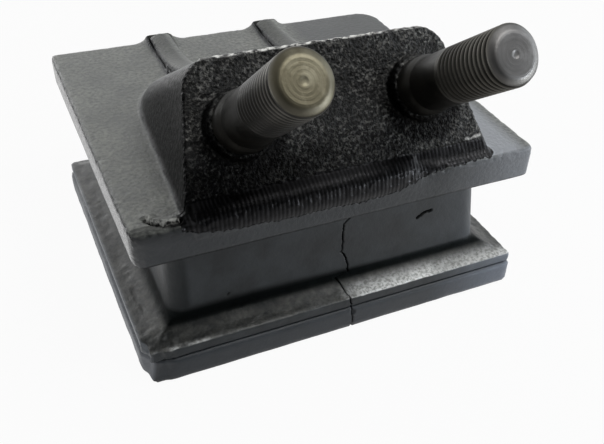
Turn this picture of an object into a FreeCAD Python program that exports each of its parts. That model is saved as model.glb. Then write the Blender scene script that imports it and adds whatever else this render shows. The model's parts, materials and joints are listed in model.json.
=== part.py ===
"""Engine mount: a rubber block bonded between a steel base plate and a cast bracket.

The bracket is a flat plate with a wedge on it.  Two threaded studs stand nearly
square out of the wedge's sloping front face; each is bent a little off square.  Units are millimetres, +Z is up, the studs
point towards -Y and the origin is the middle of the base plate's underside.
"""
import math
import os

import FreeCAD
import Part

V = FreeCAD.Vector

# ---- studs -------------------------------------------------------------------
stud_diameter = 16.0          # M16 x 2
stud_length = 51.0            # from the wedge's face to the stud's tip
stud_spacing = 57.0           # between the two axes
stud_chamfer = 1.3            # length of the tip's bevel
stud_tip_radius = 5.6         # flat end of the tip
left_stud_rise = 22.4         # stud axis above the face's foot, up the slope
right_stud_rise = 23.5
left_bend_right = 2.2         # degrees off square, towards +X
left_bend_up = 1.0            # and up the slope
right_bend_right = 0.5
right_bend_up = -2.7
stud_bedded = 18.0            # depth held in the bracket
shoulder_diameter = 17.4      # plain root of the stud
shoulder_length = 5.6         # height of that root above the raised ring
shoulder_cone = 0.7           # its tapered end
tip_centre_radius = 1.6       # turned centre mark in the tip
tip_centre_depth = 0.8

# ---- base plate --------------------------------------------------------------
base_width = 132.4
base_depth = 117.0
base_thickness = 8.8
base_corner = 2.5
base_edge = 0.8

# ---- rubber ------------------------------------------------------------------
foot_inset = 0.7              # how far the rubber foot stands in from the base
foot_band = 4.0               # upright band round the foot
foot_rise = 3.8               # rise of the sloping ledge up to the block
foot_edge = 0.8               # rounding of the ledge's outer edge
groove_depth = 1.0            # thin groove between base plate and rubber
groove_height = 0.6
side_ledge = 9.9              # from the foot's edge in to the block, sides
front_ledge = 8.2             # the same at front and back
block_height = 29.5
block_draft = 2.5             # the block narrows by this much on each side
block_corner = 6.0
block_root = 2.0              # concave fillet where the block leaves the ledge

# ---- bracket plate -----------------------------------------------------------
plate_width = 129.6
plate_depth = 117.6
plate_thickness = 11.6
plate_corner_front_left = 4.0
plate_corner_front_right = 2.0
plate_corner_back_right = 8.5
plate_corner_back_left = 1.5
plate_edge = 1.2

# ---- wedge on the plate ------------------------------------------------------
face_setback = 2.1            # foot of the face behind the plate's front edge
face_lean = 37.7              # degrees back from upright
face_height = 42.2            # measured up the slope
foot_half_width = 49.2
side_draft = 0.232            # sides lean in by this much per mm of height
side_taper = 0.06             # and by this much per mm towards the back
ramp_angle = 31.0             # fall of the wedge's back
ramp_blend = 70.0             # concave radius where it runs out on the plate
ramp_sink = 0.4               # the run-out ends this far inside the plate
back_corner = 38.0            # plan rounding of the wedge's back corners
back_reach = 95.0             # plan depth of the wedge from the plate's front
shoulder_round = 9.5          # soft upper edges
crest_round = 1.0             # edge between the face and the back
lip_left_x = -47.0            # rolled lip where the face runs down over the edge
lip_right_x = 22.0
lip_above = 4.6               # up the face
lip_below = 5.6               # down the plate's front
lip_bulge = 3.0               # out from the straight line between its two edges
boss_radius = 9.9             # raised ring round each stud
boss_height = 4.0
boss_edge = 0.9

# ---- ribs on the plate -------------------------------------------------------
rib_width = 8.6
rib_height = 3.3
rib_round = 3.1
rib_left_x = -25.4
rib_right_x = 16.8
rib_reach = 58.0              # length along the plate from its back edge

# ---- levels worked out from the sizes above ----------------------------------
ledge_edge_z = base_thickness + foot_band
block_foot_z = ledge_edge_z + foot_rise
plate_bottom = block_foot_z + block_height
plate_top = plate_bottom + plate_thickness
stud_radius = stud_diameter / 2.0
shoulder_top = boss_height + shoulder_length
plate_front = -plate_depth / 2.0
plate_back = plate_depth / 2.0
foot_half_w = base_width / 2.0 - foot_inset
foot_half_d = base_depth / 2.0 - foot_inset
block_half_w = foot_half_w - side_ledge
block_half_d = foot_half_d - front_ledge
lean = math.radians(face_lean)
fall = math.radians(ramp_angle)
face_normal = V(0.0, -math.cos(lean), math.sin(lean))
face_up = V(0.0, math.sin(lean), math.cos(lean))
face_foot = V(0.0, plate_front + face_setback, plate_top)
crest = face_foot + face_up * face_height


def rounded_outline(half_x, half_y, radii, z):
    """Closed wire of a rectangle; radii go front left, front right, back right, back left."""
    corners = [(-half_x, -half_y), (half_x, -half_y), (half_x, half_y), (-half_x, half_y)]
    outward = [(-1, -1), (1, -1), (1, 1), (-1, 1)]
    arcs = []
    ends = []
    for index in range(4):
        x, y = corners[index]
        dx, dy = outward[index]
        radius = radii[index]
        start = 180.0 + 90.0 * index
        centre = V(x - dx * radius, y - dy * radius, z)
        points = []
        for turn in (0.0, 45.0, 90.0):
            angle = math.radians(start + turn)
            points.append(centre + V(radius * math.cos(angle), radius * math.sin(angle), 0))
        arcs.append(Part.Arc(points[0], points[1], points[2]).toShape())
        ends.append((points[0], points[2]))
    ring = []
    for index in range(4):
        following = (index + 1) % 4
        ring.append(arcs[index])
        ring.append(Part.makeLine(ends[index][1], ends[following][0]))
    return Part.Wire(ring)


def slab(half_x, half_y, radii, z, height):
    return Part.Face(rounded_outline(half_x, half_y, radii, z)).extrude(V(0, 0, height))


def rectangle(half_x, half_y, z):
    return [V(-half_x, -half_y, z), V(half_x, -half_y, z), V(half_x, half_y, z), V(-half_x, half_y, z)]


def frustum(lower, upper):
    """Flat-sided solid between two four-cornered rings of points."""
    faces = [
        Part.Face(Part.makePolygon(lower[::-1] + lower[-1:])),
        Part.Face(Part.makePolygon(upper + upper[:1])),
    ]
    for index in range(4):
        nxt = (index + 1) % 4
        ring = [lower[index], lower[nxt], upper[nxt], upper[index], lower[index]]
        faces.append(Part.Face(Part.makePolygon(ring)))
    return Part.makeSolid(Part.makeShell(faces))


def edges_where(shape, test):
    """Edges of a shape whose box passes a test."""
    return [edge for edge in shape.Edges if test(edge.BoundBox)]


def level_edges(shape, z):
    return edges_where(shape, lambda b: abs(b.ZMin - z) < 0.01 and abs(b.ZMax - z) < 0.01)


def upright_edges(shape, from_z, to_z):
    return edges_where(shape, lambda b: abs(b.ZMin - from_z) < 0.01 and abs(b.ZMax - to_z) < 0.01)


def profile_along_x(edges, from_x, to_x):
    """Solid with one side view, drawn in the YZ plane, from one X to another."""
    face = Part.Face(Part.Wire(edges))
    face.translate(V(from_x, 0, 0))
    return face.extrude(V(to_x - from_x, 0, 0))


def make_base_plate():
    body = slab(base_width / 2.0, base_depth / 2.0, [base_corner] * 4, 0.0, base_thickness)
    rims = level_edges(body, 0.0) + level_edges(body, base_thickness)
    return body.makeChamfer(base_edge, rims)


def make_foot():
    """The flared foot: groove, upright band and hipped ledge."""
    neck_half_w = foot_half_w - groove_depth
    neck_half_d = foot_half_d - groove_depth
    neck = slab(neck_half_w, neck_half_d, [foot_edge] * 4, base_thickness, groove_height)
    band_z = base_thickness + groove_height
    band_height = block_foot_z - band_z
    corner = V(-foot_half_w, -foot_half_d, band_z)
    band = Part.makeBox(2.0 * foot_half_w, 2.0 * foot_half_d, band_height, corner)
    run = band_height / foot_rise
    hip = frustum(
        rectangle(block_half_w + side_ledge * run, block_half_d + front_ledge * run, band_z),
        rectangle(block_half_w, block_half_d, block_foot_z),
    )
    foot = band.common(hip)
    rims = level_edges(foot, ledge_edge_z) + upright_edges(foot, band_z, ledge_edge_z)
    return foot.makeFillet(foot_edge, rims).fuse(neck).removeSplitter()


def make_rubber():
    foot = make_foot()
    sunk = foot_rise + foot_band / 2.0
    splay = block_draft / block_height
    low_w = block_half_w + splay * sunk
    low_d = block_half_d + splay * sunk
    block = frustum(
        rectangle(low_w, low_d, block_foot_z - sunk),
        rectangle(block_half_w - block_draft, block_half_d - block_draft, plate_bottom),
    )
    block = block.makeFillet(block_corner, upright_edges(block, block_foot_z - sunk, plate_bottom))
    rubber = foot.fuse(block).removeSplitter()

    def meets_ledge(box):
        within = max(abs(box.XMin), abs(box.XMax)) < block_half_w + 1.5
        within = within and max(abs(box.YMin), abs(box.YMax)) < block_half_d + 1.5
        low = box.ZMax < block_foot_z + 0.5 and box.ZMin > ledge_edge_z + 0.3
        return within and low

    return rubber.makeFillet(block_root, edges_where(rubber, meets_ledge))


def make_wedge():
    end_z = plate_top - ramp_sink
    tangent = ramp_blend * math.tan(fall / 2.0)
    corner_y = crest.y + (crest.z - end_z) / math.tan(fall)
    start = V(0, corner_y - tangent * math.cos(fall), end_z + tangent * math.sin(fall))
    end = V(0, corner_y + tangent, end_z)
    middle = V(
        0,
        end.y - ramp_blend * math.sin(fall / 2.0),
        end_z + ramp_blend * (1.0 - math.cos(fall / 2.0)),
    )
    low_z = plate_top - plate_thickness / 2.0
    side_view = profile_along_x(
        [
            Part.makeLine(V(0, face_foot.y, low_z), face_foot),
            Part.makeLine(face_foot, crest),
            Part.makeLine(crest, start),
            Part.Arc(start, middle, end).toShape(),
            Part.makeLine(end, V(0, end.y, low_z)),
            Part.makeLine(V(0, end.y, low_z), V(0, face_foot.y, low_z)),
        ],
        -plate_width / 2.0,
        plate_width / 2.0,
    )
    top_z = crest.z + 2.0
    front_y = plate_front - 4.0

    def ring(z):
        back_y = plate_front + back_reach - side_draft * (z - plate_top)
        half = foot_half_width - side_draft * (z - plate_top)
        front_half = half - side_taper * (front_y - face_foot.y)
        back_half = half - side_taper * (back_y - face_foot.y)
        return [
            V(-front_half, front_y, z),
            V(front_half, front_y, z),
            V(back_half, back_y, z),
            V(-back_half, back_y, z),
        ]

    plan = frustum(ring(low_z), ring(top_z))
    back_edges = edges_where(plan, lambda b: b.ZLength > top_z - low_z - 0.1 and b.YMin > 0.0)
    plan = plan.makeFillet(back_corner, back_edges)
    wedge = side_view.common(plan).removeSplitter()

    def is_shoulder(box):
        from_crest = abs(box.YMin - crest.y) < 0.5 and abs(box.ZMax - crest.z) < 0.5
        return from_crest and box.YLength > 10.0 and box.XLength < foot_half_width / 2.0

    wedge = wedge.makeFillet(shoulder_round, edges_where(wedge, is_shoulder))

    def is_crest(box):
        level = box.ZLength < 0.01 and abs(box.ZMin - crest.z) < 0.01
        return level and box.XLength > foot_half_width / 2.0

    return wedge.makeFillet(crest_round, edges_where(wedge, is_crest))


def ramp_height(y):
    """Height of the wedge's back above the plate at one place along Y."""
    corner_y = crest.y + (crest.z - plate_top) / math.tan(fall)
    tangent = ramp_blend * math.tan(fall / 2.0)
    if y > corner_y + tangent:
        return 0.0
    if y > corner_y - tangent * math.cos(fall):
        reach = corner_y + tangent - y
        return ramp_blend - math.sqrt(ramp_blend ** 2 - reach ** 2)
    return (corner_y - y) * math.tan(fall)


def make_rib(x):
    """A rounded rib that keeps its height as the surface under it rises."""
    low_z = plate_top - plate_thickness / 2.0
    steps = 6
    crown = []
    for index in range(steps + 1):
        y = plate_back - rib_reach * index / steps
        crown.append(V(0, y, plate_top + rib_height + ramp_height(y)))
    curve = Part.BSplineCurve()
    curve.interpolate(crown)
    top = curve.toShape()
    front = crown[-1]
    rib = profile_along_x(
        [
            top,
            Part.makeLine(front, V(0, front.y, low_z)),
            Part.makeLine(V(0, front.y, low_z), V(0, plate_back, low_z)),
            Part.makeLine(V(0, plate_back, low_z), crown[0]),
        ],
        x - rib_width / 2.0,
        x + rib_width / 2.0,
    )
    upper = plate_top + rib_height - 0.01
    edges = edges_where(rib, lambda b: b.ZMin > upper and b.XLength < rib_width / 2.0)
    ends = edges_where(rib, lambda b: b.ZMin > upper and b.XLength > rib_width / 2.0)
    return rib.makeFillet(rib_round, edges + ends)


def make_lip():
    """Rolled lip over the plate's front edge at the foot of the face."""
    top = face_foot + face_up * lip_above
    low = V(0, plate_front, plate_top - lip_below)
    root_y = face_foot.y + 1.0
    sag = (top + low) * 0.5 + (face_normal + V(0, -1, 0)).normalize() * lip_bulge
    return profile_along_x(
        [
            Part.Arc(top, sag, low).toShape(),
            Part.makeLine(low, V(0, root_y, low.z)),
            Part.makeLine(V(0, root_y, low.z), top),
        ],
        lip_left_x,
        lip_right_x,
    )


def stud_foot(side):
    """Point where a stud's axis meets the wedge's face; side is -1 or +1."""
    rise = left_stud_rise if side < 0 else right_stud_rise
    return face_foot + face_up * rise + V(side * stud_spacing / 2.0, 0, 0)


def stud_axis(side):
    """Direction of a stud, a little off square to the face."""
    to_right = left_bend_right if side < 0 else right_bend_right
    upwards = left_bend_up if side < 0 else right_bend_up
    across = V(1, 0, 0) * math.tan(math.radians(to_right))
    along = face_up * math.tan(math.radians(upwards))
    return (face_normal + across + along).normalize()


def make_bracket():
    radii = [
        plate_corner_front_left,
        plate_corner_front_right,
        plate_corner_back_right,
        plate_corner_back_left,
    ]
    plate = slab(plate_width / 2.0, plate_depth / 2.0, radii, plate_bottom, plate_thickness)
    rims = level_edges(plate, plate_top) + level_edges(plate, plate_bottom)
    bracket = plate.makeFillet(plate_edge, rims).fuse(make_wedge()).fuse(make_lip())
    for x in (rib_left_x, rib_right_x):
        bracket = bracket.fuse(make_rib(x))
    for side in (-1, 1):
        foot = stud_foot(side)
        boss = Part.makeCylinder(boss_radius, boss_height + 3.0, foot - face_normal * 3.0, face_normal)
        rim = [e for e in boss.Edges if (e.CenterOfMass - foot).dot(face_normal) > boss_height - 0.01]
        bracket = bracket.fuse(boss.makeChamfer(boss_edge, rim))
    bracket = bracket.removeSplitter()
    for side in (-1, 1):
        bracket = bracket.cut(make_stud(side))
    return bracket.removeSplitter()


def make_stud(side):
    """One stud, turned about its own axis."""
    shoulder = shoulder_diameter / 2.0
    outline = [
        V(0, 0, -stud_bedded),
        V(stud_radius, 0, -stud_bedded),
        V(stud_radius, 0, boss_height),
        V(shoulder, 0, boss_height),
        V(shoulder, 0, shoulder_top - shoulder_cone),
        V(stud_radius, 0, shoulder_top),
        V(stud_radius, 0, stud_length - stud_chamfer),
        V(stud_tip_radius, 0, stud_length),
        V(tip_centre_radius, 0, stud_length),
        V(0, 0, stud_length - tip_centre_depth),
        V(0, 0, -stud_bedded),
    ]
    stud = Part.Face(Part.makePolygon(outline)).revolve(V(0, 0, 0), V(0, 0, 1), 360)
    turn = FreeCAD.Rotation(V(0, 0, 1), stud_axis(side))
    stud.Placement = FreeCAD.Placement(stud_foot(side), turn)
    return stud


def write(shape, name):
    if shape.ShapeType == "Compound" and len(shape.Solids) == 1:
        shape = shape.Solids[0]
    if not shape.isValid() or len(shape.Solids) != 1:
        raise RuntimeError("%s did not come out as one sound solid" % name)
    shape.exportStep("parts/%s.step" % name)
    box = shape.optimalBoundingBox(False)
    print(
        "%-14s %7.2f..%7.2f  %7.2f..%7.2f  %7.2f..%7.2f  volume %.0f"
        % (name, box.XMin, box.XMax, box.YMin, box.YMax, box.ZMin, box.ZMax, shape.Volume)
    )


os.makedirs("parts", exist_ok=True)
write(make_base_plate(), "base_plate")
write(make_rubber(), "rubber_block")
write(make_bracket(), "top_bracket")
write(make_stud(-1), "left_stud")
write(make_stud(1), "right_stud")
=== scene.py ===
"""Looks of an engine mount: rubber block, steel base plate, cast bracket, two threaded studs."""

import json
import math

import bmesh
import bpy
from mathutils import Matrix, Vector, noise


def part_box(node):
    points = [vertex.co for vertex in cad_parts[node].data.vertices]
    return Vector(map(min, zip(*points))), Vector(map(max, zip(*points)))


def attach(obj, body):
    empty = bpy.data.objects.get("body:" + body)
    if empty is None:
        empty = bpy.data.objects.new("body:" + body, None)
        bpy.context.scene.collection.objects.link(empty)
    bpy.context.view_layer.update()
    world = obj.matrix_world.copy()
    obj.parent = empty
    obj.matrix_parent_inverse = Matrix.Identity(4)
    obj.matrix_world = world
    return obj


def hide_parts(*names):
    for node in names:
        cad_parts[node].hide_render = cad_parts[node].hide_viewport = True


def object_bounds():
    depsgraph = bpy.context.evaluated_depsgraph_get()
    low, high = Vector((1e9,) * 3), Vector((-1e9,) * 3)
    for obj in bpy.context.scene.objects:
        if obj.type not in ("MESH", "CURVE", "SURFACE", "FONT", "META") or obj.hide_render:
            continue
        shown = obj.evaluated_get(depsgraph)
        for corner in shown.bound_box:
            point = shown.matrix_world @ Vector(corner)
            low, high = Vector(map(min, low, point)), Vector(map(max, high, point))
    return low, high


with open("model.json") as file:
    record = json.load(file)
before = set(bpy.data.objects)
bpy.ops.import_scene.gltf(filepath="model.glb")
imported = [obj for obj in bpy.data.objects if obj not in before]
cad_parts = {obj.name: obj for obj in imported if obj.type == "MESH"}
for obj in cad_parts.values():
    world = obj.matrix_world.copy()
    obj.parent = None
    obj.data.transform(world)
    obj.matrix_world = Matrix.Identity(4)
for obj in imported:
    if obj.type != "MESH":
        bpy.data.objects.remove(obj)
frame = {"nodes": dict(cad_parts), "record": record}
cad_box = [list(corner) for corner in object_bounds()]
MM = 0.001

# ---- places in millimetres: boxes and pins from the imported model, then the part's own sizes ----
base_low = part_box("base_plate")[0] / MM
rubber_low, rubber_high = [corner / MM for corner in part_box("rubber_block")]
bracket_low, bracket_high = [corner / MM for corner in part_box("top_bracket")]
pins = {m["name"]: m for m in frame["record"]["mounts"] if m["kind"] == "pin"}
stud_radius = pins["left_stud_pin"]["dims"]["r_mm"]
pin_length = pins["left_stud_pin"]["dims"]["length_mm"]

plate_thickness = 11.6
plate_bottom = bracket_low.z
plate_top = plate_bottom + plate_thickness
plate_front = -bracket_high.y
plate_half_width = bracket_high.x
rib_middles = (-25.4, 16.8)       # across the plate
rib_half_width = 4.4
rib_back_y = 3.0                  # the ribs lie behind this
rib_foot_reach = 9.0              # how far each rib's swollen foot spreads from its middle
face_lean = math.radians(37.7)
face_height = 42.2
face_half_width = 49.2
side_draft = 0.232
boss_radius = 9.9                 # of the raised ring round each stud
boss_height = 4.0
front_ledge = 8.2                 # from the rubber foot's edge in to the block
side_ledge = 9.9
ledge_edge_z = 12.8
block_foot_z = 16.6
block_front_y = rubber_low.y + front_ledge
shoulder_radius = 8.7
shoulder_top = 9.6                # the pin starts here above the sloping face
stud_chamfer = 1.3
stud_tip_radius = 5.6
stud_length = shoulder_top + pin_length + stud_chamfer

face_out = Vector((0.0, -math.cos(face_lean), math.sin(face_lean)))
face_up = Vector((0.0, math.sin(face_lean), math.cos(face_lean)))
face_foot = Vector((0.0, plate_front + 2.1, plate_top))


def stud_place(pin):
    """Where a stud's axis meets the sloping face, and its direction."""
    axis = Vector(pin["axis"]).normalized()
    middle = Vector(pin["pos_m"]) / MM
    return middle - axis * (shoulder_top + pin_length / 2.0), axis


studs = {side: stud_place(pins[side + "_stud_pin"]) for side in ("left", "right")}


# ---- small maths ------------------------------------------------------------------
def ease(low, high, value):
    """0 below low, 1 above high and a smooth ramp between."""
    share = min(max((value - low) / (high - low), 0.0), 1.0)
    return share * share * (3.0 - 2.0 * share)


def window(low, high, soft, value):
    """1 between low and high, falling to 0 over the soft distance outside them."""
    return ease(low - soft, low, value) * (1.0 - ease(high, high + soft, value))


def rough(place, scale, seed):
    """Smooth noise from -1 to 1 with bumps about as wide as the scale."""
    return noise.noise(place / scale + Vector((seed, seed * 0.7, -seed)))


def along(table, at):
    """Value read off a table of (at, value) points, straight between them and level past its ends."""
    if at <= table[0][0]:
        return table[0][1]
    for (start, before), (end, after) in zip(table, table[1:]):
        if at <= end:
            return before + (after - before) * (at - start) / (end - start)
    return table[-1][1]


def from_corner(place, corner):
    """Distance from a corner as seen from above."""
    return (place - corner).xy.length


def near_path(path, point):
    """Distance from a point to a line through several points."""
    best = 1e9
    for start, end in zip(path, path[1:]):
        run = end - start
        share = min(max((point - start).dot(run) / run.length_squared, 0.0), 1.0)
        best = min(best, (point - start - run * share).length)
    return best


# ---- making pieces ----------------------------------------------------------------
def packed_form(node):
    """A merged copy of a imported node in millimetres, ready to be worked on."""
    form = bmesh.new()
    form.from_mesh(frame["nodes"][node].data)
    bmesh.ops.scale(form, vec=(1.0 / MM,) * 3, verts=form.verts)
    bmesh.ops.remove_doubles(form, verts=form.verts, dist=0.003)
    return form


def even_skin(form, cell):
    """The same form with one closed skin of even square faces."""
    mesh = bpy.data.meshes.new("form")
    form.to_mesh(mesh)
    form.free()
    holder = bpy.data.objects.new("form", mesh)
    bpy.context.scene.collection.objects.link(holder)
    remesh = holder.modifiers.new("skin", "REMESH")
    remesh.mode = "VOXEL"
    remesh.voxel_size = cell
    ready = holder.evaluated_get(bpy.context.evaluated_depsgraph_get())
    skinned = bpy.data.meshes.new_from_object(ready)
    skin = bmesh.new()
    skin.from_mesh(skinned)
    bpy.data.objects.remove(holder)
    bpy.data.meshes.remove(mesh)
    bpy.data.meshes.remove(skinned)
    return skin


def refine(form, inside):
    """Divide the faces whose corners all pass a test."""
    chosen = {v for v in form.verts if inside(v.co)}
    edges = [e for e in form.edges if e.verts[0] in chosen and e.verts[1] in chosen]
    bmesh.ops.subdivide_edges(form, edges=edges, cuts=1, use_grid_fill=True)


def soften(form, verts, times):
    """Draw each corner towards its neighbours, several times over."""
    for _ in range(times):
        bmesh.ops.smooth_vert(
            form, verts=verts, factor=0.5, use_axis_x=True, use_axis_y=True, use_axis_z=True
        )


def sculpt(form, push):
    """Move every corner by what push(place, outward) gives."""
    form.normal_update()
    moves = [(v, push(v.co, v.normal)) for v in form.verts]
    for vert, move in moves:
        vert.co += move


def stain(form, name, amount):
    """Store a value from 0 to 1 at every corner for the materials to read."""
    layer = form.verts.layers.float.new(name)
    for vert in form.verts:
        vert[layer] = amount(vert.co, vert.normal)


def finish_piece(form, name, material, node):
    """Turn a worked form into a shown piece in metres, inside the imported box, that stands for its node."""
    bmesh.ops.scale(form, vec=(MM,) * 3, verts=form.verts)
    for vert in form.verts:
        vert.co = [min(max(value, low), high) for value, low, high in zip(vert.co, *cad_box)]
    bmesh.ops.recalc_face_normals(form, faces=form.faces)
    for face in form.faces:
        face.smooth = True
    mesh = bpy.data.meshes.new(name)
    form.to_mesh(mesh)
    form.free()
    piece = bpy.data.objects.new(name, mesh)
    bpy.context.scene.collection.objects.link(piece)
    mesh.materials.append(material)
    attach(piece, "root")
    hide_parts(node)
    return piece


# ---- material building blocks -------------------------------------------------------
def new_group(name, inputs, outputs):
    """A node group with float inputs (name, default) and outputs (name, kind)."""
    group = bpy.data.node_groups.new(name, "ShaderNodeTree")
    for label, value in inputs:
        socket = group.interface.new_socket(label, in_out="INPUT", socket_type="NodeSocketFloat")
        socket.default_value = value
    for label, kind in outputs:
        group.interface.new_socket(label, in_out="OUTPUT", socket_type="NodeSocket" + kind)
    start = group.nodes.new("NodeGroupInput")
    end = group.nodes.new("NodeGroupOutput")
    return group, start, end


def put(tree, kind, **settings):
    """Add a node; settings are its properties, and input values where the name is a socket's."""
    node = tree.nodes.new("ShaderNode" + kind)
    for label, value in settings.items():
        if hasattr(node, label):
            setattr(node, label, value)
        else:
            node.inputs[label.replace("_", " ")].default_value = value
    return node


def maths(tree, operation, first, second, clamp=False):
    """Work out one value from two, each a number or a socket."""
    node = put(tree, "Math", operation=operation, use_clamp=clamp)
    for socket, value in zip(node.inputs, (first, second)):
        if isinstance(value, float):
            socket.default_value = value
        else:
            tree.links.new(value, socket)
    return node.outputs[0]


def blend_colours(tree, share, first, second):
    """Mix two colours, each a tuple or a socket, by a share from 0 to 1."""
    node = put(tree, "Mix", data_type="RGBA")
    tree.links.new(share, node.inputs[0])
    for socket, value in ((node.inputs[6], first), (node.inputs[7], second)):
        if isinstance(value, tuple):
            socket.default_value = (*value, 1.0)
        else:
            tree.links.new(value, socket)
    return node.outputs[2]


def spread(tree, value, low, high, to_low=0.0, to_high=1.0):
    """Stretch a value's range to another, and cut it off at both ends."""
    node = put(tree, "MapRange", clamp=True)
    tree.links.new(value, node.inputs["Value"])
    for label, number in (("From Min", low), ("From Max", high), ("To Min", to_low), ("To Max", to_high)):
        node.inputs[label].default_value = number
    return node.outputs[0]


def attribute(tree, name):
    """A stain stored on the piece."""
    return put(tree, "Attribute", attribute_name=name).outputs["Fac"]


def use_group(tree, group, **values):
    """Place a node group in a material with its own values."""
    node = tree.nodes.new("ShaderNodeGroup")
    node.node_tree = group
    for label, value in values.items():
        node.inputs[label.replace("_", " ")].default_value = value
    return node


def grain_group():
    """Fine bumps of one size, with a mask of their tops."""
    group, start, end = new_group(
        "grain", [("Scale", 1000.0), ("Detail", 3.0)], [("Height", "Float"), ("Tops", "Float")]
    )
    noise_node = put(group, "TexNoise", Roughness=0.55)
    group.links.new(put(group, "TexCoord").outputs["Object"], noise_node.inputs["Vector"])
    group.links.new(start.outputs["Scale"], noise_node.inputs["Scale"])
    group.links.new(start.outputs["Detail"], noise_node.inputs["Detail"])
    group.links.new(noise_node.outputs["Fac"], end.inputs["Height"])
    group.links.new(spread(group, noise_node.outputs["Fac"], 0.5, 0.68), end.inputs["Tops"])
    return group


def dust_group():
    """Dust that lies on faces turned upwards, in uneven patches."""
    group, start, end = new_group("dust", [("Amount", 1.0), ("Patch Scale", 60.0)], [("Mask", "Float")])
    facing = put(group, "NewGeometry")
    split = put(group, "SeparateXYZ")
    group.links.new(facing.outputs["Normal"], split.inputs[0])
    upward = spread(group, split.outputs["Z"], 0.25, 0.95)
    patches = put(group, "TexNoise", Detail=4.0, Roughness=0.6)
    group.links.new(put(group, "TexCoord").outputs["Object"], patches.inputs["Vector"])
    group.links.new(start.outputs["Patch Scale"], patches.inputs["Scale"])
    patchy = spread(group, patches.outputs["Fac"], 0.3, 0.7, 0.55, 1.0)
    lying = maths(group, "MULTIPLY", upward, patchy)
    mask = maths(group, "MULTIPLY", lying, start.outputs["Amount"], clamp=True)
    group.links.new(mask, end.inputs["Mask"])
    return group


GRAIN = grain_group()
DUST = dust_group()
unlit = (0.002, 0.002, 0.002)     # painted shade: the black inside cracks and marks, and in the bracket's darkest places


def new_material(name):
    """An empty material with its surface shader joined to its output."""
    material = bpy.data.materials.new(name)
    material.use_nodes = True
    tree = material.node_tree
    tree.nodes.clear()
    surface = tree.nodes.new("ShaderNodeBsdfPrincipled")
    output = tree.nodes.new("ShaderNodeOutputMaterial")
    tree.links.new(surface.outputs[0], output.inputs[0])
    return material, tree, surface


def add_bump(tree, height, depth_mm, strength, under=None):
    """Bumps of a given depth, on top of those under them."""
    bump = put(tree, "Bump", Strength=strength, Distance=depth_mm * MM)
    tree.links.new(height, bump.inputs["Height"])
    if under is not None:
        tree.links.new(under, bump.inputs["Normal"])
    return bump.outputs[0]


def rubber_material():
    """Dull black rubber with dust, a painted highlight on the front ledge, painted bluish sheen and painted
    shade.
    """
    material, tree, surface = new_material("moulded_rubber")
    grain = use_group(tree, GRAIN, Scale=1400.0, Detail=4.0)
    patches = use_group(tree, GRAIN, Scale=90.0, Detail=5.0)
    specks = use_group(tree, GRAIN, Scale=480.0, Detail=5.0)
    flecks = use_group(tree, GRAIN, Scale=1000.0, Detail=6.0)
    dust = use_group(tree, DUST, Amount=0.75, Patch_Scale=120.0)
    crack = attribute(tree, "crack")
    grime = attribute(tree, "grime")
    mottled = spread(tree, patches.outputs["Height"], 0.34, 0.66)
    speckled = spread(tree, specks.outputs["Height"], 0.36, 0.64)
    flecked = spread(tree, flecks.outputs["Height"], 0.40, 0.56)
    body = blend_colours(tree, mottled, (0.009, 0.0115, 0.013), (0.031, 0.035, 0.038))
    film = blend_colours(tree, speckled, (0.022, 0.021, 0.017), (0.110, 0.107, 0.092))
    dusty = blend_colours(tree, dust.outputs["Mask"], body, film)
    # painted highlight: pale colour for the light the front ledge catches past the plate's edge
    pale = blend_colours(tree, flecked, (0.48, 0.48, 0.45), (1.0, 1.0, 0.97))
    rubbed = blend_colours(tree, attribute(tree, "rubbed"), dusty, pale)
    # painted sheen: pale bluish colour for reflected light
    sheened = blend_colours(tree, attribute(tree, "haze"), rubbed, (0.20, 0.225, 0.26))
    # painted shade: near black where the ledge meets the block under the plate's overhang, on the left ledge
    # and on the block's left corner
    shaded_rubber = blend_colours(tree, grime, sheened, (0.002, 0.003, 0.003))
    # painted shade inside the crack and marks: black, and metallic black takes their gloss away
    tree.links.new(blend_colours(tree, crack, shaded_rubber, unlit), surface.inputs["Base Color"])
    dull = spread(tree, patches.outputs["Height"], 0.3, 0.7, 0.40, 0.56)
    tree.links.new(dull, surface.inputs["Roughness"])
    # metallic black takes the gloss off the painted shade and the marks
    tree.links.new(maths(tree, "MAXIMUM", grime, crack), surface.inputs["Metallic"])
    under = add_bump(tree, patches.outputs["Height"], 0.8, 0.35)
    under = add_bump(tree, specks.outputs["Height"], 0.25, 0.5, under)
    tree.links.new(add_bump(tree, grain.outputs["Height"], 0.10, 0.6, under), surface.inputs["Normal"])
    return material


def steel_material():
    """Coated steel, a little lighter than the rubber on it."""
    material, tree, surface = new_material("coated_steel")
    grain = use_group(tree, GRAIN, Scale=1100.0, Detail=4.0)
    patches = use_group(tree, GRAIN, Scale=70.0, Detail=5.0)
    specks = use_group(tree, GRAIN, Scale=450.0, Detail=5.0)
    body = blend_colours(tree, patches.outputs["Height"], (0.018, 0.021, 0.024), (0.048, 0.053, 0.060))
    # painted sheen: pale bluish colour for reflected light
    sheened = blend_colours(tree, attribute(tree, "haze"), body, (0.20, 0.225, 0.27))
    crack = attribute(tree, "crack")
    # painted shade inside the crack: black, and metallic black takes its gloss away
    tree.links.new(blend_colours(tree, crack, sheened, unlit), surface.inputs["Base Color"])
    dull = spread(tree, patches.outputs["Height"], 0.3, 0.7, 0.38, 0.55)
    tree.links.new(dull, surface.inputs["Roughness"])
    tree.links.new(crack, surface.inputs["Metallic"])
    under = add_bump(tree, patches.outputs["Height"], 0.8, 0.4)
    under = add_bump(tree, specks.outputs["Height"], 0.25, 0.5, under)
    tree.links.new(add_bump(tree, grain.outputs["Height"], 0.12, 0.6, under), surface.inputs["Normal"])
    return material


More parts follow.
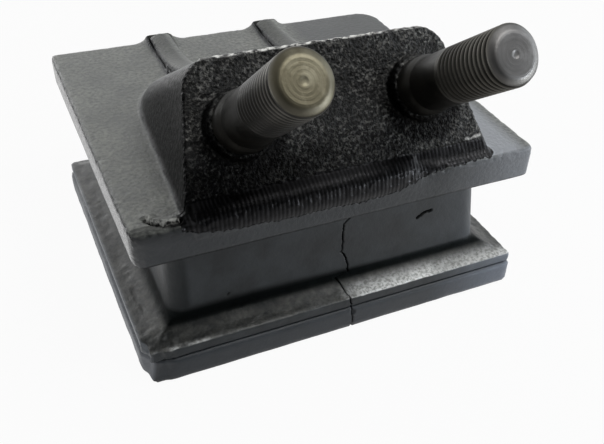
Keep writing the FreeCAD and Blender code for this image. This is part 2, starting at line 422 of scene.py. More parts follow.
def casting_material():
    """Coated skin of the plate, the wedge's sides and the ribs."""
    material, tree, surface = new_material("coated_casting")
    grain = use_group(tree, GRAIN, Scale=900.0, Detail=4.0)
    patches = use_group(tree, GRAIN, Scale=80.0, Detail=5.0)
    specks = use_group(tree, GRAIN, Scale=760.0, Detail=6.0)
    dust = use_group(tree, DUST, Amount=1.0, Patch_Scale=70.0)
    speckled = spread(tree, specks.outputs["Height"], 0.34, 0.66)
    body = blend_colours(tree, patches.outputs["Height"], (0.018, 0.020, 0.022), (0.044, 0.047, 0.050))
    film = blend_colours(tree, speckled, (0.050, 0.053, 0.045), (0.285, 0.292, 0.262))
    soot = attribute(tree, "soot")
    # painted shade: dust is left off where the bracket should look darker
    dusted_where_lit = maths(tree, "SUBTRACT", 1.0, attribute(tree, "bare"))
    settled = maths(tree, "MULTIPLY", dust.outputs["Mask"], dusted_where_lit)
    dusty = blend_colours(tree, settled, body, film)
    # painted sheen: pale bluish colour for reflected light
    sheened = blend_colours(tree, attribute(tree, "haze"), dusty, (0.36, 0.375, 0.40))
    # painted shade: near black where the bracket lies in shade
    shaded = blend_colours(tree, soot, sheened, unlit)
    chips = spread(tree, specks.outputs["Height"], 0.40, 0.55)
    # painted highlight along the crest and the flap, and the pale scratch
    chipped = maths(tree, "MULTIPLY", attribute(tree, "scuff"), chips)
    tree.links.new(blend_colours(tree, chipped, shaded, (0.60, 0.60, 0.56)), surface.inputs["Base Color"])
    dull = spread(tree, specks.outputs["Height"], 0.3, 0.7, 0.38, 0.60)
    polished = maths(tree, "SUBTRACT", dull, maths(tree, "MULTIPLY", attribute(tree, "polish"), 0.26))
    tree.links.new(polished, surface.inputs["Roughness"])
    # metallic black takes the gloss off the painted shade
    tree.links.new(soot, surface.inputs["Metallic"])
    under = add_bump(tree, specks.outputs["Height"], 0.40, 0.6)
    tree.links.new(add_bump(tree, grain.outputs["Height"], 0.12, 0.6, under), surface.inputs["Normal"])
    return material


def rough_face_material():
    """Black pebbled skin of the sloping face, with painted glints and the combed strip at its foot."""
    material, tree, surface = new_material("rough_black_casting")
    grain = use_group(tree, GRAIN, Scale=820.0, Detail=3.0)
    specks = use_group(tree, GRAIN, Scale=560.0, Detail=5.0)
    glints = put(tree, "TexNoise", Scale=1050.0, Detail=5.0, Roughness=0.62)
    tree.links.new(put(tree, "TexCoord").outputs["Object"], glints.inputs["Vector"])
    areas = use_group(tree, GRAIN, Scale=170.0, Detail=3.0)
    band = attribute(tree, "band")
    soot = attribute(tree, "soot")
    # painted glints: pale specks in patches on the black skin
    glinting = spread(tree, glints.outputs["Fac"], 0.48, 0.76)
    bright = maths(tree, "MULTIPLY", glinting, spread(tree, areas.outputs["Height"], 0.38, 0.60, 0.30, 1.0))
    black = blend_colours(tree, bright, (0.0015, 0.0015, 0.0012), (0.190, 0.186, 0.172))
    lined = blend_colours(tree, attribute(tree, "comb"), (0.001, 0.001, 0.001), (0.034, 0.033, 0.036))
    banded = blend_colours(tree, band, black, lined)
    # painted shade: near black low on the face and painted shadow under the studs
    shaded = blend_colours(tree, soot, banded, (0.001, 0.001, 0.001))
    chips = spread(tree, specks.outputs["Height"], 0.42, 0.56)
    # painted highlight along the crest and the flap, and the pale scratch
    chipped = maths(tree, "MULTIPLY", attribute(tree, "scuff"), chips)
    tree.links.new(blend_colours(tree, chipped, shaded, (0.75, 0.74, 0.70)), surface.inputs["Base Color"])
    tree.links.new(spread(tree, grain.outputs["Height"], 0.35, 0.65, 0.44, 0.30), surface.inputs["Roughness"])
    # metallic black takes the gloss off the painted shade
    tree.links.new(spread(tree, soot, 0.0, 1.0, 0.62, 1.0), surface.inputs["Metallic"])
    pebbles = maths(tree, "MULTIPLY", grain.outputs["Height"], maths(tree, "SUBTRACT", 1.0, band))
    under = add_bump(tree, specks.outputs["Height"], 0.30, 0.5)
    tree.links.new(add_bump(tree, pebbles, 1.0, 1.0, under), surface.inputs["Normal"])
    return material


def stud_material(name, tip_light, tip_dark):
    """Oily dark metal with brighter thread crests, worn and partly a painted highlight, and an uncoated
    turned end.
    """
    material, tree, surface = new_material(name)
    grain = use_group(tree, GRAIN, Scale=1500.0, Detail=4.0)
    patches = use_group(tree, GRAIN, Scale=160.0, Detail=5.0)
    tip = attribute(tree, "tip")
    oily = blend_colours(tree, patches.outputs["Height"], (0.003, 0.0027, 0.002), (0.016, 0.0145, 0.011))
    # worn crests and painted highlight: lighter colour on the thread crests
    crests = blend_colours(tree, attribute(tree, "crest"), oily, (0.13, 0.122, 0.105))
    end = blend_colours(tree, patches.outputs["Tops"], tip_dark, tip_light)
    tree.links.new(blend_colours(tree, tip, crests, end), surface.inputs["Base Color"])
    tree.links.new(spread(tree, tip, 0.0, 1.0, 0.75, 0.82), surface.inputs["Metallic"])
    tree.links.new(spread(tree, patches.outputs["Height"], 0.3, 0.7, 0.34, 0.50), surface.inputs["Roughness"])
    surface.inputs["Specular IOR Level"].default_value = 0.4
    tree.links.new(add_bump(tree, grain.outputs["Height"], 0.05, 0.5), surface.inputs["Normal"])
    return material


# ---- base plate -----------------------------------------------------------------------
# height and place across of the crack that runs up the front, from the base to the top of the block
crack_line = [(1.2, 2.6), (7.2, 2.6), (9.8, 2.3), (13.2, 1.8), (15.3, 0.9), (16.6, -0.6), (17.4, 4.6),
              (20.6, 4.2), (24.1, 3.4), (25.6, 2.2), (28.3, 2.6), (32.1, 2.6), (36.2, 3.0), (38.5, 5.6)]
crack_foot_x = 2.6
base_pit = Vector((2.7, base_low.y, 7.0))
base_cell = 1.15                  # sides of the faces that each worked piece starts from
rubber_cell = 0.86
bracket_cell = 1.0


def crack_distance(place):
    """Distance across from a place on the front to the wandering crack."""
    level = Vector((0.0, 0.0, place.z))
    wander = 0.35 * rough(level, 2.1, 4.0) + 0.26 * rough(level, 0.9, 6.0) + 0.12 * rough(level, 0.4, 8.0)
    return abs(place.x - along(crack_line, place.z) - wander)


def right_painted_sheen(place):
    """Painted sheen: pale bluish colour that thickens towards the right end of the front faces."""
    return ease(28.0, 70.0, place.x) * (1.0 - ease(-40.0, -20.0, place.y))


def left_painted_sheen(outward):
    """The same painted sheen, thinner, on faces turned to the left."""
    return 0.30 * ease(0.5, 0.9, -outward.x)


def base_painted_sheen(place, outward):
    """Painted sheen on the plate's right front and on its left side."""
    return max(0.75 * right_painted_sheen(place) * ease(0.0, 0.6, -outward.y), left_painted_sheen(outward))


def base_crack_painted_shade(place, outward):
    """Painted shade: black inside the crack's lower end, in the plate's front."""
    return (1.0 - ease(0.05, 0.36, crack_distance(place))) * (place.y < base_low.y + 1.2)


def base_wear(place, outward):
    """Uneven lower edge, and a torn corner at the front left."""
    low = 1.0 - ease(0.5, 4.0, place.z)
    side = max(abs(outward.x), abs(outward.y))
    dent = -0.45 * low * side * abs(rough(place, 9.0, 1.0)) - 0.12 * abs(rough(place, 2.5, 2.0)) * side
    move = outward * dent
    lift = low * 0.9 * max(0.0, rough(Vector((place.x, place.y, 0.0)), 14.0, 5.0)) * ease(0.6, 0.9, side)
    move += Vector((0.0, 0.0, lift))
    bite = 1.0 - ease(2.0, 9.5, from_corner(place, base_low) + 1.6 * rough(place, 3.0, 3.0))
    move += Vector((2.6, 1.4, 0.0)) * bite * (0.55 + 0.45 * ease(0.0, 8.0, place.z))
    if place.y < base_low.y + 2.0:
        groove = 1.0 - ease(0.1, 0.4, crack_distance(place))
        pit = 1.0 - ease(0.5, 1.1, (place - base_pit).length)
        move += Vector((0.0, 0.9 * max(groove, pit), 0.0))
    return move


def make_base_plate():
    form = even_skin(packed_form("base_plate"), base_cell)

    def by_crack(reach):
        return lambda p: p.y < base_low.y + 1.5 and abs(p.x - crack_foot_x) < reach

    refine(form, by_crack(3.5))
    refine(form, by_crack(2.2))
    stain(form, "crack", base_crack_painted_shade)
    stain(form, "haze", base_painted_sheen)
    sculpt(form, base_wear)
    return finish_piece(form, "base_plate_steel", steel_material(), "base_plate")


# ---- rubber ----------------------------------------------------------------------------
# marks on the block's front and on the left ledge
nick = [Vector((30.2, 0.0, 31.4)), Vector((32.7, 0.0, 32.8)), Vector((35.4, 0.0, 33.1))]
pit_middle = Vector((-36.8, 0.0, 21.2))
pit_radius = 0.7
ledge_sink = 3.8                  # how far the ledge is hollowed, before its curve
ledge_scratch = [Vector((-61.8, -25.6, 14.2)), Vector((-61.3, -32.8, 14.4)), Vector((-60.9, -38.0, 14.5))]


def ledge_hollow(place):
    """The ledge is hollow: nearly flat at its outer edge and steep at the block."""
    to_front = (rubber_high.y - abs(place.y)) / front_ledge
    to_side = (rubber_high.x - abs(place.x)) / side_ledge
    inward = min(to_front, to_side)
    edge_low = ledge_edge_z - 1.0
    if not 0.0 < inward < 1.0 or place.z < edge_low:
        return 0.0
    return ledge_sink * (inward ** 1.7 - inward) * ease(edge_low, ledge_edge_z, place.z)


def on_block_front(place):
    """True near the block's front, and on all that lies before it."""
    return place.y < block_front_y + 5.0


def front_marks(place):
    """How open the crack, the nick and the pit are at a place on the rubber's front."""
    flat = Vector((place.x, 0.0, place.z))
    line = 1.0 - ease(0.03, 0.35, crack_distance(place))
    cut = 1.0 - ease(0.15, 0.75, near_path(nick, flat) + 0.3 * rough(place, 0.9, 5.0))
    pit = 1.0 - ease(0.2 * pit_radius, pit_radius, (flat - pit_middle).length)
    return line, cut, pit


def rubber_wear(place, outward):
    """Uneven skin, hollow ledges, ragged ledge edges, the torn corner and the marks."""
    side = max(abs(outward.x), abs(outward.y))
    move = outward * (0.10 * rough(place, 12.0, 1.0) + 0.035 * rough(place, 3.0, 2.0))
    move += Vector((0.0, 0.0, ledge_hollow(place)))
    on_edge = window(ledge_edge_z - 2.5, ledge_edge_z + 1.5, 1.0, place.z)
    past_left_end = ease(1.0, 4.0, place.x + rubber_high.x)
    move -= outward * on_edge * (0.35 + 0.9 * past_left_end) * 0.35 * abs(rough(place, 4.0, 3.0))
    corner = from_corner(place, rubber_low)
    bite = 1.0 - ease(3.0, 8.0, corner + 2.4 * rough(place, 2.2, 7.0))
    move += Vector((1.9, 0.9, -0.3)) * bite * side
    torn = (1.0 - ease(9.0, 15.0, corner)) * (1.0 - ease(block_foot_z - 2.0, block_foot_z, place.z))
    move += outward * torn * (0.5 * rough(place, 2.4, 21.0) + 0.3 * rough(place, 1.2, 22.0))
    if on_block_front(place) and outward.y < -0.05:
        line, cut, pit = front_marks(place)
        move += Vector((0.0, 1.5 * line + 0.8 * cut + 0.7 * pit, 0.0))
    score = 1.0 - ease(0.1, 0.5, near_path(ledge_scratch, place))
    move -= outward * 0.5 * score
    return move


def marks_painted_shade(place, outward):
    """Painted shade: black inside the crack, the nick and the pit on the front."""
    return max(front_marks(place)) if on_block_front(place) else 0.0


def root_painted_shade(place, outward):
    """Painted shade: near black in the corner between ledge and block, on the left ledge and on the block's
    left corner.
    """
    height = place.z - block_foot_z
    on_ledge = height < 0.3
    deep = 5.0 - 2.8 * ease(-40.0, 30.0, place.x)
    inside = min(rubber_high.x - side_ledge - abs(place.x), rubber_high.y - front_ledge - abs(place.y))
    root = 0.96 * (1.0 - ease(0.3 * deep, deep, height))
    root *= ease(-3.4, -0.6, inside) if on_ledge else 1.0
    root *= ease(-9.0, -2.0, -abs(height) + 4.0 * (height > 0.0))
    left_ledge = 0.62 * ease(-6.0, 30.0, -place.x) * (place.y < block_front_y) * on_ledge
    left_ledge *= ease(0.2, 0.5, outward.z) * ease(0.6, 2.2, place.y - rubber_low.y)
    block_corner = 0.5 * window(-57.0, -50.0, 2.5, place.x) * (height > 0.0) * (place.y < -42.0)
    return max(root, left_ledge, block_corner)


def rubber_painted_sheen(place, outward):
    """Painted bluish sheen on the foot's right end and along its left band."""
    right = 0.75 * right_painted_sheen(place) * ease(-0.75, -0.3, -outward.z)
    right *= 1.0 - 0.7 * (place.z > block_foot_z)
    return max(right, left_painted_sheen(outward) * (place.z < ledge_edge_z + 0.5))


def ledge_painted_highlight(place, outward):
    """Painted highlight on the outer half of the front ledge, brightest right of the crack and streaked at
    the left.
    """
    if place.y > block_front_y + 1.0 or outward.z < 0.2:
        return 0.0
    outer = 1.0 - ease(0.8, 6.6, place.y - rubber_low.y + 0.6 * rough(place, 2.5, 41.0))
    outer *= ease(0.3, 0.6, outward.z)
    strength = 0.08 + 0.92 * window(9.0, 26.0, 12.0, place.x) + 0.60 * window(36.0, 66.0, 12.0, place.x)
    streak = 0.5 * window(-58.0, -48.0, 5.0, place.x) * (1.0 - ease(0.6, 2.4, place.y - rubber_low.y))
    streak *= ease(-0.3, 0.3, rough(place, 2.0, 43.0)) * ease(0.3, 0.6, outward.z)
    return min(1.0, max(outer * strength, streak))


def make_rubber():
    form = even_skin(packed_form("rubber_block"), rubber_cell)

    def by_marks(crack_reach, nick_reach):
        def near(place):
            if not on_block_front(place):
                return False
            beside_crack = abs(place.x - along(crack_line, place.z)) < crack_reach
            return beside_crack or near_path(nick, Vector((place.x, 0.0, place.z))) < nick_reach
        return near

    refine(form, by_marks(4.0, 2.6))
    refine(form, by_marks(2.2, 1.5))
    stain(form, "crack", marks_painted_shade)
    stain(form, "haze", rubber_painted_sheen)
    stain(form, "grime", root_painted_shade)
    stain(form, "rubbed", ledge_painted_highlight)
    sculpt(form, rubber_wear)
    return finish_piece(form, "rubber_moulding", rubber_material(), "rubber_block")


# ---- bracket ---------------------------------------------------------------------------
# height of the combed strip's fringe above the plate's underside, from left to right
band_low = [(-60.0, 11.6), (-50.0, 9.6), (-46.0, 8.7), (-35.0, 6.9), (-29.0, 7.0), (-23.0, 6.0), (-17.0, 5.8),
            (-7.5, 6.4), (2.0, 5.3), (16.0, 6.9), (29.0, 10.5), (40.0, 10.8), (51.0, 11.2), (60.0, 11.6)]
flap_line = [(-58.4, -51.4), (-57.2, -53.6), (-55.5, -54.7), (-53.5, -55.2), (-51.3, -55.2)]
flap_edge = [Vector((x, y, plate_top)) for x, y in flap_line]
torn_right_x = -46.0              # the torn skin lies left of this
face_scratch = [Vector((41.2, 0.0, 5.6)), Vector((46.5, 0.0, 6.0))]
lip_end_x = 22.0                  # here the lip over the plate's edge stops short and needs a soft end
lip_end_passes = ((11.0, 8), (7.0, 14), (4.0, 24))    # reach to each side, times softened
comb_pitch = 1.3


def face_place(place):
    """Across, out from and up the sloping face, seen from the middle of its foot."""
    offset = place - face_foot
    return Vector((place.x, offset.dot(face_out), offset.dot(face_up)))


def past_face_side(across, up):
    """How far a place lies outside the face's slanting side edges."""
    return abs(across) - face_half_width + side_draft * max(up, 0.0) * face_up.z


def flap_ahead(place):
    """How far a place lies behind the torn flap's edge; negative in front of it."""
    return place.y - along(flap_line, place.x)


def off_rib(place):
    """Distance across from the nearer rib's middle, negative on its left."""
    return min((place.x - middle for middle in rib_middles), key=abs)


def on_cast_face(place):
    """1 on the black pebbled skin of the sloping face and its two raised rings."""
    across, out, up = face_place(place)
    near = window(-1.2, 1.6, 0.9, out) * window(0.4, face_height + 3.0, 1.0, up)
    near *= 1.0 - ease(0.2, 1.2, past_face_side(across, up))
    boss = 0.0
    for foot, _ in studs.values():
        centre = face_place(foot)
        reach = math.hypot(across - centre.x, up - centre.z)
        outside = ease(boss_radius + 0.6, boss_radius + 1.6, reach)
        boss = max(boss, (1.0 - outside) * window(-2.0, boss_height + 1.0, 0.5, out))
    return max(near, boss)


def in_band(place):
    """The combed strip where the skin rolls over the plate's front edge."""
    across, _, up = face_place(place)
    ragged = 0.8 * rough(Vector((place.x, 0.0, 0.0)), 1.3, 2.0)
    width = window(-50.0, 50.0, 2.5, across)
    above_fringe = ease(-0.4, 0.4, place.z - plate_bottom - along(band_low, place.x) - ragged)
    below_face = 1.0 - ease(4.4, 5.4, up + 0.5 * rough(place, 2.5, 6.0))
    at_front = 1.0 - ease(plate_front + 5.0, plate_front + 6.0, place.y)
    return width * above_fringe * below_face * at_front


def face_score(place):
    """Short pale scratch low on the right of the face."""
    across, out, up = face_place(place)
    if out < -1.5:
        return 0.0
    return 0.5 * (1.0 - ease(0.1, 0.7, near_path(face_scratch, Vector((across, 0.0, up)))))


def comb_lines(place):
    """Fine upright lines, 0 in their hollows and 1 on their crests."""
    drift = 2.2 * rough(Vector((place.x, 0.0, 0.3 * place.z)), 3.5, 5.0)
    lines = 0.5 + 0.5 * math.sin(math.tau * place.x / comb_pitch + drift)
    return lines * (0.65 + 0.35 * rough(Vector((place.x, 0.0, place.z)), 2.0, 7.0))


def crest_painted_highlight(place):
    """Painted highlight, broken into chips, along the top edge of the face and along the flap."""
    across, out, up = face_place(place)
    line = window(face_height - 0.4, face_height + 1.0, 0.4, up) * window(-1.6, 1.0, 0.5, out)
    line *= ease(-0.45, -0.05, rough(place, 2.2, 31.0)) * (1.0 - 0.6 * ease(20.0, 34.0, across))
    on_flap = (1.0 - ease(0.2, 0.8, near_path(flap_edge, place))) * (flap_ahead(place) > -0.2)
    return max(line, 0.8 * on_flap)


def undusted_painted_shade(place, outward):
    """Painted shade: no dust on the left flanks, which face away from the light, and little on the top behind
    the face on the right.
    """
    flank = ease(0.22, 0.55, -outward.x) * ease(plate_top - 0.2, plate_top + 0.5, place.z)
    return max(flank, 0.8 * ease(22.0, 30.0, place.x) * ease(12.0, 26.0, place.y))


def bracket_painted_sheen(place, outward):
    """Painted pale sheen on the right end of the plate's front and on its top beside it."""
    front = 0.55 * right_painted_sheen(place) * ease(0.0, 0.6, -outward.y)
    top = window(48.0, 57.0, 7.0, place.x) * ease(-4.0, 16.0, -place.y) * ease(0.5, 0.9, outward.z)
    return max(front, top) * (1.0 - on_cast_face(place))


def side_polish(place, outward):
    """The plate's left side is smoother than its top."""
    return ease(0.6, 0.85, -outward.x) * (1.0 - ease(plate_top - 0.6, plate_top + 0.2, place.z))


def face_painted_shade(place):
    """Painted shade low on the left of the face, and painted shadow under the studs."""
    across, out, up = face_place(place)
    soot = (0.50 + 0.35 * ease(-5.0, 22.0, -across)) * window(3.0, 10.0, 9.0, up)
    soot *= ease(-40.0, -16.0, -across)
    for foot, _ in studs.values():
        centre = face_place(foot)
        reach = math.hypot(across - centre.x, up - centre.z + 4.0)
        soot = max(soot, 0.80 * (1.0 - ease(10.5, 16.0, reach)) * ease(-3.0, 4.0, centre.z - up))
    return soot * (out > -1.5)


def bracket_painted_shade(place, outward):
    """Painted shade: the plate's lower edge, the hollow under the flap, low on the face and the left flanks.
    """
    edge = (1.0 - ease(0.6, 1.2, place.z - plate_bottom)) * (place.y < plate_front + 2.0)
    hollow = window(-59.0, -49.5, 1.0, place.x) * window(-2.3, -0.1, 0.4, flap_ahead(place))
    hollow *= place.z > plate_top - 3.0
    flank = (0.76 + 0.24 * ease(-12.0, 14.0, -place.y)) * ease(0.3, 0.65, -outward.x)
    flank *= ease(plate_top - 0.2, plate_top + 0.5, place.z)
    rib_flank = 0.62 * window(-5.0, 1.2, 1.6, off_rib(place)) * (place.z > plate_top + 0.4)
    rib_flank *= place.y > rib_back_y
    return max(edge, hollow, face_painted_shade(place), flank, rib_flank)


def scuffs_and_highlights(place, outward):
    """Places painted pale: the painted highlight along the crest and the flap, and the pale scratch."""
    return max(crest_painted_highlight(place), face_score(place))


def rib_shape(place):
    """Rounds each rib's crown, slopes its left flank and swells its foot at the plate's back edge."""
    beside = off_rib(place)
    if abs(beside) < rib_half_width + 0.2 and place.z > plate_top + 1.2:
        fall = 1.9 if beside < 0.0 else 0.7
        return -fall * (abs(beside) / rib_half_width) ** 1.6
    low = 1.0 - ease(0.8, 2.0, place.z - plate_top)
    foot = 1.0 - ease(rib_half_width, rib_foot_reach, abs(beside))
    return 1.3 * low * foot * ease(46.0, 57.0, place.y)


def bracket_wear(place, outward):
    """Pebbles, comb lines, rounded ribs, a chipped crest, worn rims and the torn flap."""
    across, out, up = face_place(place)
    cast = on_cast_face(place)
    band = in_band(place)
    move = outward * (0.10 * rough(place, 10.0, 1.0))
    if cast > 0.0:
        pebbles = 0.12 * rough(place, 2.1, 3.0) + 0.16 * rough(place, 1.0, 8.0)
        move += outward * cast * (1.0 - band) * pebbles
    if band > 0.0:
        move += outward * band * 0.12 * (comb_lines(place) - 0.5)
    by_rib = place.y > rib_back_y and abs(off_rib(place)) < rib_foot_reach
    if by_rib and place.z > plate_top - 0.4 and outward.z > 0.15:
        move += Vector((0.0, 0.0, rib_shape(place)))
    crest = window(face_height - 1.2, face_height + 1.2, 0.8, up) * window(-1.6, 1.0, 0.8, out)
    move += outward * crest * (0.12 + 0.30 * rough(place, 2.6, 9.0))
    rim = window(plate_top - 2.0, plate_top + 0.4, 0.5, place.z) * (1.0 - cast)
    at_side = ease(plate_half_width - 2.5, plate_half_width - 0.5, abs(place.x))
    at_end = ease(-plate_front - 2.5, -plate_front - 0.5, abs(place.y))
    move -= outward * rim * max(at_side, at_end) * 0.35 * abs(rough(place, 3.0, 12.0))
    flap = near_path(flap_edge, place)
    if flap < 4.0 and place.z > plate_top - 4.0:
        ahead = flap_ahead(place)
        raised = (1.0 - ease(0.4, 3.0, flap)) * ease(-0.1, 0.1, ahead)
        hollow = (1.0 - ease(0.9, 1.8, flap)) * (1.0 - ease(-0.2, 0.0, ahead))
        move += Vector((0.0, 0.0, 0.6 * raised - 1.2 * hollow))
    if place.x < torn_right_x and place.y < plate_front + 7.0 and place.z > plate_top - 3.0:
        move += outward * 0.16 * rough(place, 2.2, 15.0)
    return move


def make_bracket():
    form = even_skin(packed_form("top_bracket"), bracket_cell)

    def at_front(place):
        _, out, up = face_place(place)
        low_edge = place.y < plate_front + 1.5 and place.z < plate_bottom + 3.5
        torn = place.x < torn_right_x and place.y < plate_front + 9.0 and place.z > plate_top - 2.5
        face = -2.5 < out < 6.0 and up > -2.0
        lip = place.y < plate_front + 4.0 and place.z > plate_bottom + 3.0
        return low_edge or torn or face or lip

    def at_band(place):
        across, _, up = face_place(place)
        rolled = place.y < plate_front + 6.0 and place.z > plate_bottom + 4.5
        return abs(across) < 51.0 and up < 5.6 and rolled

    for reach, times in lip_end_passes:
        lip = [v for v in form.verts if abs(v.co.x - lip_end_x) < reach and v.co.y < plate_front + 3.0]
        lip = [v for v in lip if v.co.z > plate_bottom + 3.5 and face_place(v.co).z < 8.0]
        soften(form, lip, times)
    refine(form, at_front)
    soften(form, form.verts, 1)
    refine(form, at_band)
    stain(form, "cast", lambda p, n: on_cast_face(p))
    stain(form, "band", lambda p, n: in_band(p))
    stain(form, "comb", lambda p, n: comb_lines(p))
    stain(form, "bare", undusted_painted_shade)
    stain(form, "soot", bracket_painted_shade)
    stain(form, "haze", bracket_painted_sheen)
    stain(form, "polish", side_polish)
    stain(form, "scuff", scuffs_and_highlights)
    cast, band = (form.verts.layers.float[name] for name in ("cast", "band"))
    for face in form.faces:
        black = sum(max(v[cast], v[band]) for v in face.verts) / len(face.verts)
        face.material_index = 1 if black > 0.5 else 0
    sculpt(form, bracket_wear)
    piece = finish_piece(form, "bracket_casting", casting_material(), "top_bracket")
    piece.data.materials.append(rough_face_material())
    return piece


# ---- studs -------------------------------------------------------------------------------
thread_pitch = 2.0
thread_start = 24.5
thread_depths = {"left": 0.28, "right": 0.75}         # the left thread stands out less
shank_step = 0.8                  # steps of the outline, along the plain shank, the thread and the end
thread_step = 0.2
ring_step = 0.15
stud_sides = 72


def stud_outline():
    """Half a plain stud as (radius, height), from inside the casting to the middle of its end."""
    radius = stud_radius
    points = [(shoulder_radius, boss_height - 1.5), (shoulder_radius, shoulder_top - 0.7)]
    points.append((radius, shoulder_top))
    height = shoulder_top + shank_step
    while height < thread_start:
        points.append((radius - 0.02, height))
        height += shank_step
    height = thread_start
    while height < stud_length - 0.1:
        points.append((radius, height))
        height += thread_step
    ring = stud_tip_radius + ring_step
    while ring > 0.3:
        ripple = 0.008 * math.sin(ring * 5.2) + 0.006 * math.sin(ring * 12.5)
        dot = 0.16 * (1.0 - ease(0.4, 1.2, ring))
        rounding = 0.05 * ease(stud_tip_radius - 0.4, stud_tip_radius + ring_step, ring)
        points.append((ring, stud_length - 0.06 + ripple - dot - rounding))
        ring -= ring_step
    points.append((0.0, stud_length - 0.24))
    return points


def turned_stud():
    """The outline spun round the Z axis."""
    form = bmesh.new()
    verts = [form.verts.new((radius, 0.0, height)) for radius, height in stud_outline()]
    edges = [form.edges.new(pair) for pair in zip(verts, verts[1:])]
    bmesh.ops.spin(
        form, geom=verts + edges, cent=(0, 0, 0), axis=(0, 0, 1),
        angle=math.tau, steps=stud_sides, use_merge=True
    )
    bmesh.ops.remove_doubles(form, verts=form.verts, dist=0.001)
    return form


def thread_cut(turn, height, deepest):
    """How deep the thread is cut at one place round and along the stud."""
    phase = (height / thread_pitch - turn) % 1.0
    flank = abs(2.0 * phase - 1.0)
    shape = min(max((flank - 0.12) / 0.74, 0.0), 1.0)
    return shape * deepest * ease(thread_start, thread_start + 2.5, height)


def crest_wear_and_highlight(side, height):
    """How bright the thread's crests are painted, worn and partly a painted highlight: the left stud's only
    near its end.
    """
    if side == "left":
        return ease(34.0, stud_length, height)
    return 0.2 + 0.6 * ease(28.0, 46.0, height)


def cut_thread(form, side):
    """Cut thread and bevel into an upright stud, and mark its crests and its bare end."""
    crest_layer = form.verts.layers.float.new("crest")
    tip_layer = form.verts.layers.float.new("tip")
    for vert in form.verts:
        reach = math.hypot(vert.co.x, vert.co.y)
        turn = math.atan2(vert.co.y, vert.co.x) / math.tau
        height = vert.co.z
        at_end = ease(stud_length - 1.3, stud_length - 0.7, height)
        vert[tip_layer] = at_end * (1.0 - 0.45 * ease(stud_tip_radius, stud_tip_radius + 0.6, reach))
        if reach > stud_tip_radius + 0.3 and thread_start <= height:
            depth = thread_cut(turn, height, thread_depths[side])
            into_bevel = max(0.0, height - (stud_length - stud_chamfer)) / stud_chamfer
            bevelled = stud_radius - into_bevel ** 1.25 * (stud_radius - stud_tip_radius)
            new_reach = min(bevelled, stud_radius - depth)
            vert.co.x *= new_reach / reach
            vert.co.y *= new_reach / reach
            crest = 1.0 - ease(0.0, 0.6 * thread_depths[side], depth)
            vert[crest_layer] = crest * crest_wear_and_highlight(side, height)


def make_stud(side, name, material):
    """A turned and threaded stud, set on the face along its own axis."""
    form = turned_stud()
    cut_thread(form, side)
    foot, axis = studs[side]
    place = Vector((0.0, 0.0, 1.0)).rotation_difference(axis).to_matrix().to_4x4()
    place.translation = foot
    bmesh.ops.transform(form, matrix=place, verts=form.verts)
    return finish_piece(form, name, material, side + "_stud")


make_base_plate()
make_rubber()
make_bracket()
stud_brown = stud_material("stud_brown", (0.26, 0.24, 0.17), (0.15, 0.135, 0.09))
make_stud("left", "left_threaded_stud", stud_brown)
stud_grey = stud_material("stud_grey", (0.27, 0.265, 0.26), (0.20, 0.195, 0.19))
make_stud("right", "right_threaded_stud", stud_grey)


# ---- floor, light and camera ----------------------------------------------------------------
# this section's places are in metres
floor_gap = 0.0002                # below the base
base_left = (-0.072, -0.064)      # left of this the floor's gloss is lit in a way of its own
near_left_light = (-0.16, -0.12)  # there it brightens towards the base between these
slant_light = (-0.14, 0.10)       # elsewhere it brightens to the right and the back between these
dark_side = Vector((0.25, -0.82, 0.51)).normalized()
lamp_aim = Vector((0.0, 0.0, 0.05))
camera_place = Vector((-0.08927, -0.22658, 0.18569))
camera_turn = (50.976, -3.286, -26.466)    # degrees about X, Y and Z
cool_white = (0.88, 0.94, 1.0)


def make_floor():
    """Pale floor: white to look at, grey in the light it gives back, and glowing in reflections with a
    painted gradient, darker to the left.
    """
    form = bmesh.new()
    bmesh.ops.create_grid(form, x_segments=2, y_segments=2, size=3.0)
    mesh = bpy.data.meshes.new("floor")
    form.to_mesh(mesh)
    form.free()
    floor = bpy.data.objects.new("floor", mesh)
    floor.location.z = -floor_gap
    bpy.context.scene.collection.objects.link(floor)
    material, tree, surface = new_material("pale_floor")
    surface.inputs["Base Color"].default_value = (0.66, 0.66, 0.66, 1.0)
    surface.inputs["Roughness"].default_value = 0.9
    surface.inputs["Specular IOR Level"].default_value = 0.0
    output = next(node for node in tree.nodes if node.type == "OUTPUT_MATERIAL")
    split = put(tree, "SeparateXYZ")
    tree.links.new(put(tree, "TexCoord").outputs["Object"], split.inputs[0])
    across = split.outputs["X"]
    slant = maths(tree, "ADD", across, maths(tree, "MULTIPLY", split.outputs["Y"], 0.35))
    gloss_light = spread(tree, slant, *slant_light, 0.26, 1.1)
    past_left = spread(tree, across, *base_left, 1.0, 0.0)
    near_left = maths(tree, "MULTIPLY", past_left, spread(tree, across, *near_left_light, 0.15, 1.2))
    # painted light: the floor glows in reflections only, brighter to the right and the back, darker in front
    # on the left
    path = put(tree, "LightPath")
    seen = path.outputs["Is Camera Ray"]
    front = maths(tree, "MULTIPLY", gloss_light, maths(tree, "SUBTRACT", 1.0, past_left))
    unseen = maths(tree, "SUBTRACT", 1.0, seen)
    mirrored = maths(tree, "MULTIPLY", maths(tree, "ADD", front, near_left), unseen)
    glow = maths(tree, "ADD", mirrored, seen)
    white = put(tree, "Emission", Color=(1.0, 1.0, 1.0, 1.0))
    tree.links.new(glow, white.inputs["Strength"])
    share = maths(tree, "MAXIMUM", maths(tree, "MULTIPLY", seen, 0.95), path.outputs["Is Glossy Ray"])
    mix = put(tree, "MixShader")
    tree.links.new(share, mix.inputs[0])
    tree.links.new(surface.outputs[0], mix.inputs[1])
    tree.links.new(white.outputs[0], mix.inputs[2])
    tree.links.new(mix.outputs[0], output.inputs[0])
    mesh.materials.append(material)


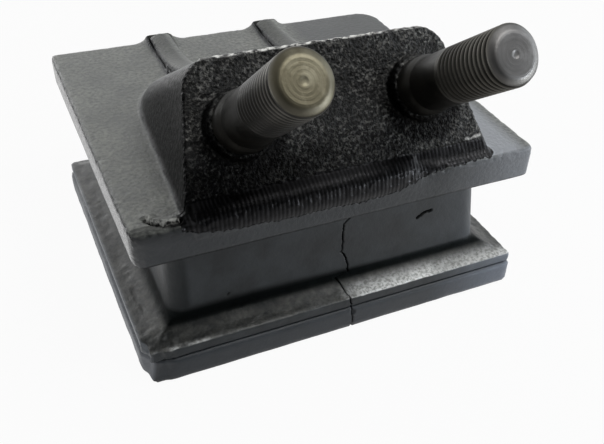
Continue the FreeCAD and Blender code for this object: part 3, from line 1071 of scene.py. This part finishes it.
def make_world():
    """White room, with a darker side towards the front that shows only in the light and the gloss."""
    world = bpy.data.worlds.new("room")
    bpy.context.scene.world = world
    world.use_nodes = True
    tree = world.node_tree
    tree.nodes.clear()
    background = tree.nodes.new("ShaderNodeBackground")
    output = tree.nodes.new("ShaderNodeOutputWorld")
    path = tree.nodes.new("ShaderNodeLightPath")
    towards = put(tree, "VectorMath", operation="DOT_PRODUCT")
    tree.links.new(put(tree, "TexCoord").outputs["Generated"], towards.inputs[0])
    towards.inputs[1].default_value = dark_side
    open_side = spread(tree, towards.outputs["Value"], 0.30, 0.85, 1.0, 0.04)
    level = spread(tree, path.outputs["Is Glossy Ray"], 0.0, 1.0, 0.22, 0.95)
    lit = maths(tree, "MULTIPLY", open_side, level)
    strength = maths(tree, "MAXIMUM", lit, path.outputs["Is Camera Ray"])
    background.inputs["Color"].default_value = (0.96, 0.98, 1.0, 1.0)
    tree.links.new(strength, background.inputs["Strength"])
    tree.links.new(background.outputs[0], output.inputs[0])


def make_lamp(name, place, size, power, colour=(1.0, 1.0, 1.0)):
    """A flat rectangular lamp turned towards the middle of the mount."""
    lamp = bpy.data.lights.new(name, "AREA")
    lamp.shape = "RECTANGLE"
    lamp.size, lamp.size_y = size
    lamp.energy = power
    lamp.color = colour
    holder = bpy.data.objects.new(name, lamp)
    holder.location = place
    aim = lamp_aim - Vector(place)
    holder.rotation_euler = aim.to_track_quat("-Z", "Y").to_euler()
    bpy.context.scene.collection.objects.link(holder)


def make_camera():
    """Looks down on the mount from its front left."""
    camera = bpy.data.cameras.new("camera")
    camera.sensor_width = 36.0
    camera.lens = 46.898
    camera.shift_x = -0.0989
    camera.shift_y = 0.0580
    camera.clip_start = 0.01
    holder = bpy.data.objects.new("camera", camera)
    holder.location = camera_place
    holder.rotation_euler = [math.radians(turn) for turn in camera_turn]
    bpy.context.scene.collection.objects.link(holder)
    bpy.context.scene.camera = holder


make_floor()
make_world()
make_lamp("window_above", place=(0.24, -0.26, 0.66), size=(0.26, 0.26), power=1.7)
make_lamp("window_behind", place=(0.05, 0.70, 0.50), size=(1.00, 0.45), power=1.5)
make_lamp("window_left", place=(-0.62, -0.10, 0.16), size=(0.45, 0.30), power=0.5, colour=(0.97, 0.98, 1.0))
make_lamp("window_right", place=(0.70, -0.05, 0.28), size=(0.50, 0.45), power=1.5, colour=cool_white)
make_lamp("low_light_behind_left", place=(-0.32, 0.80, 0.13), size=(0.60, 0.22), power=1.2)
make_lamp("low_light_right", place=(0.52, -0.46, 0.10), size=(0.30, 0.14), power=1.8, colour=cool_white)
make_camera()
bpy.context.scene.view_settings.view_transform = "Standard"
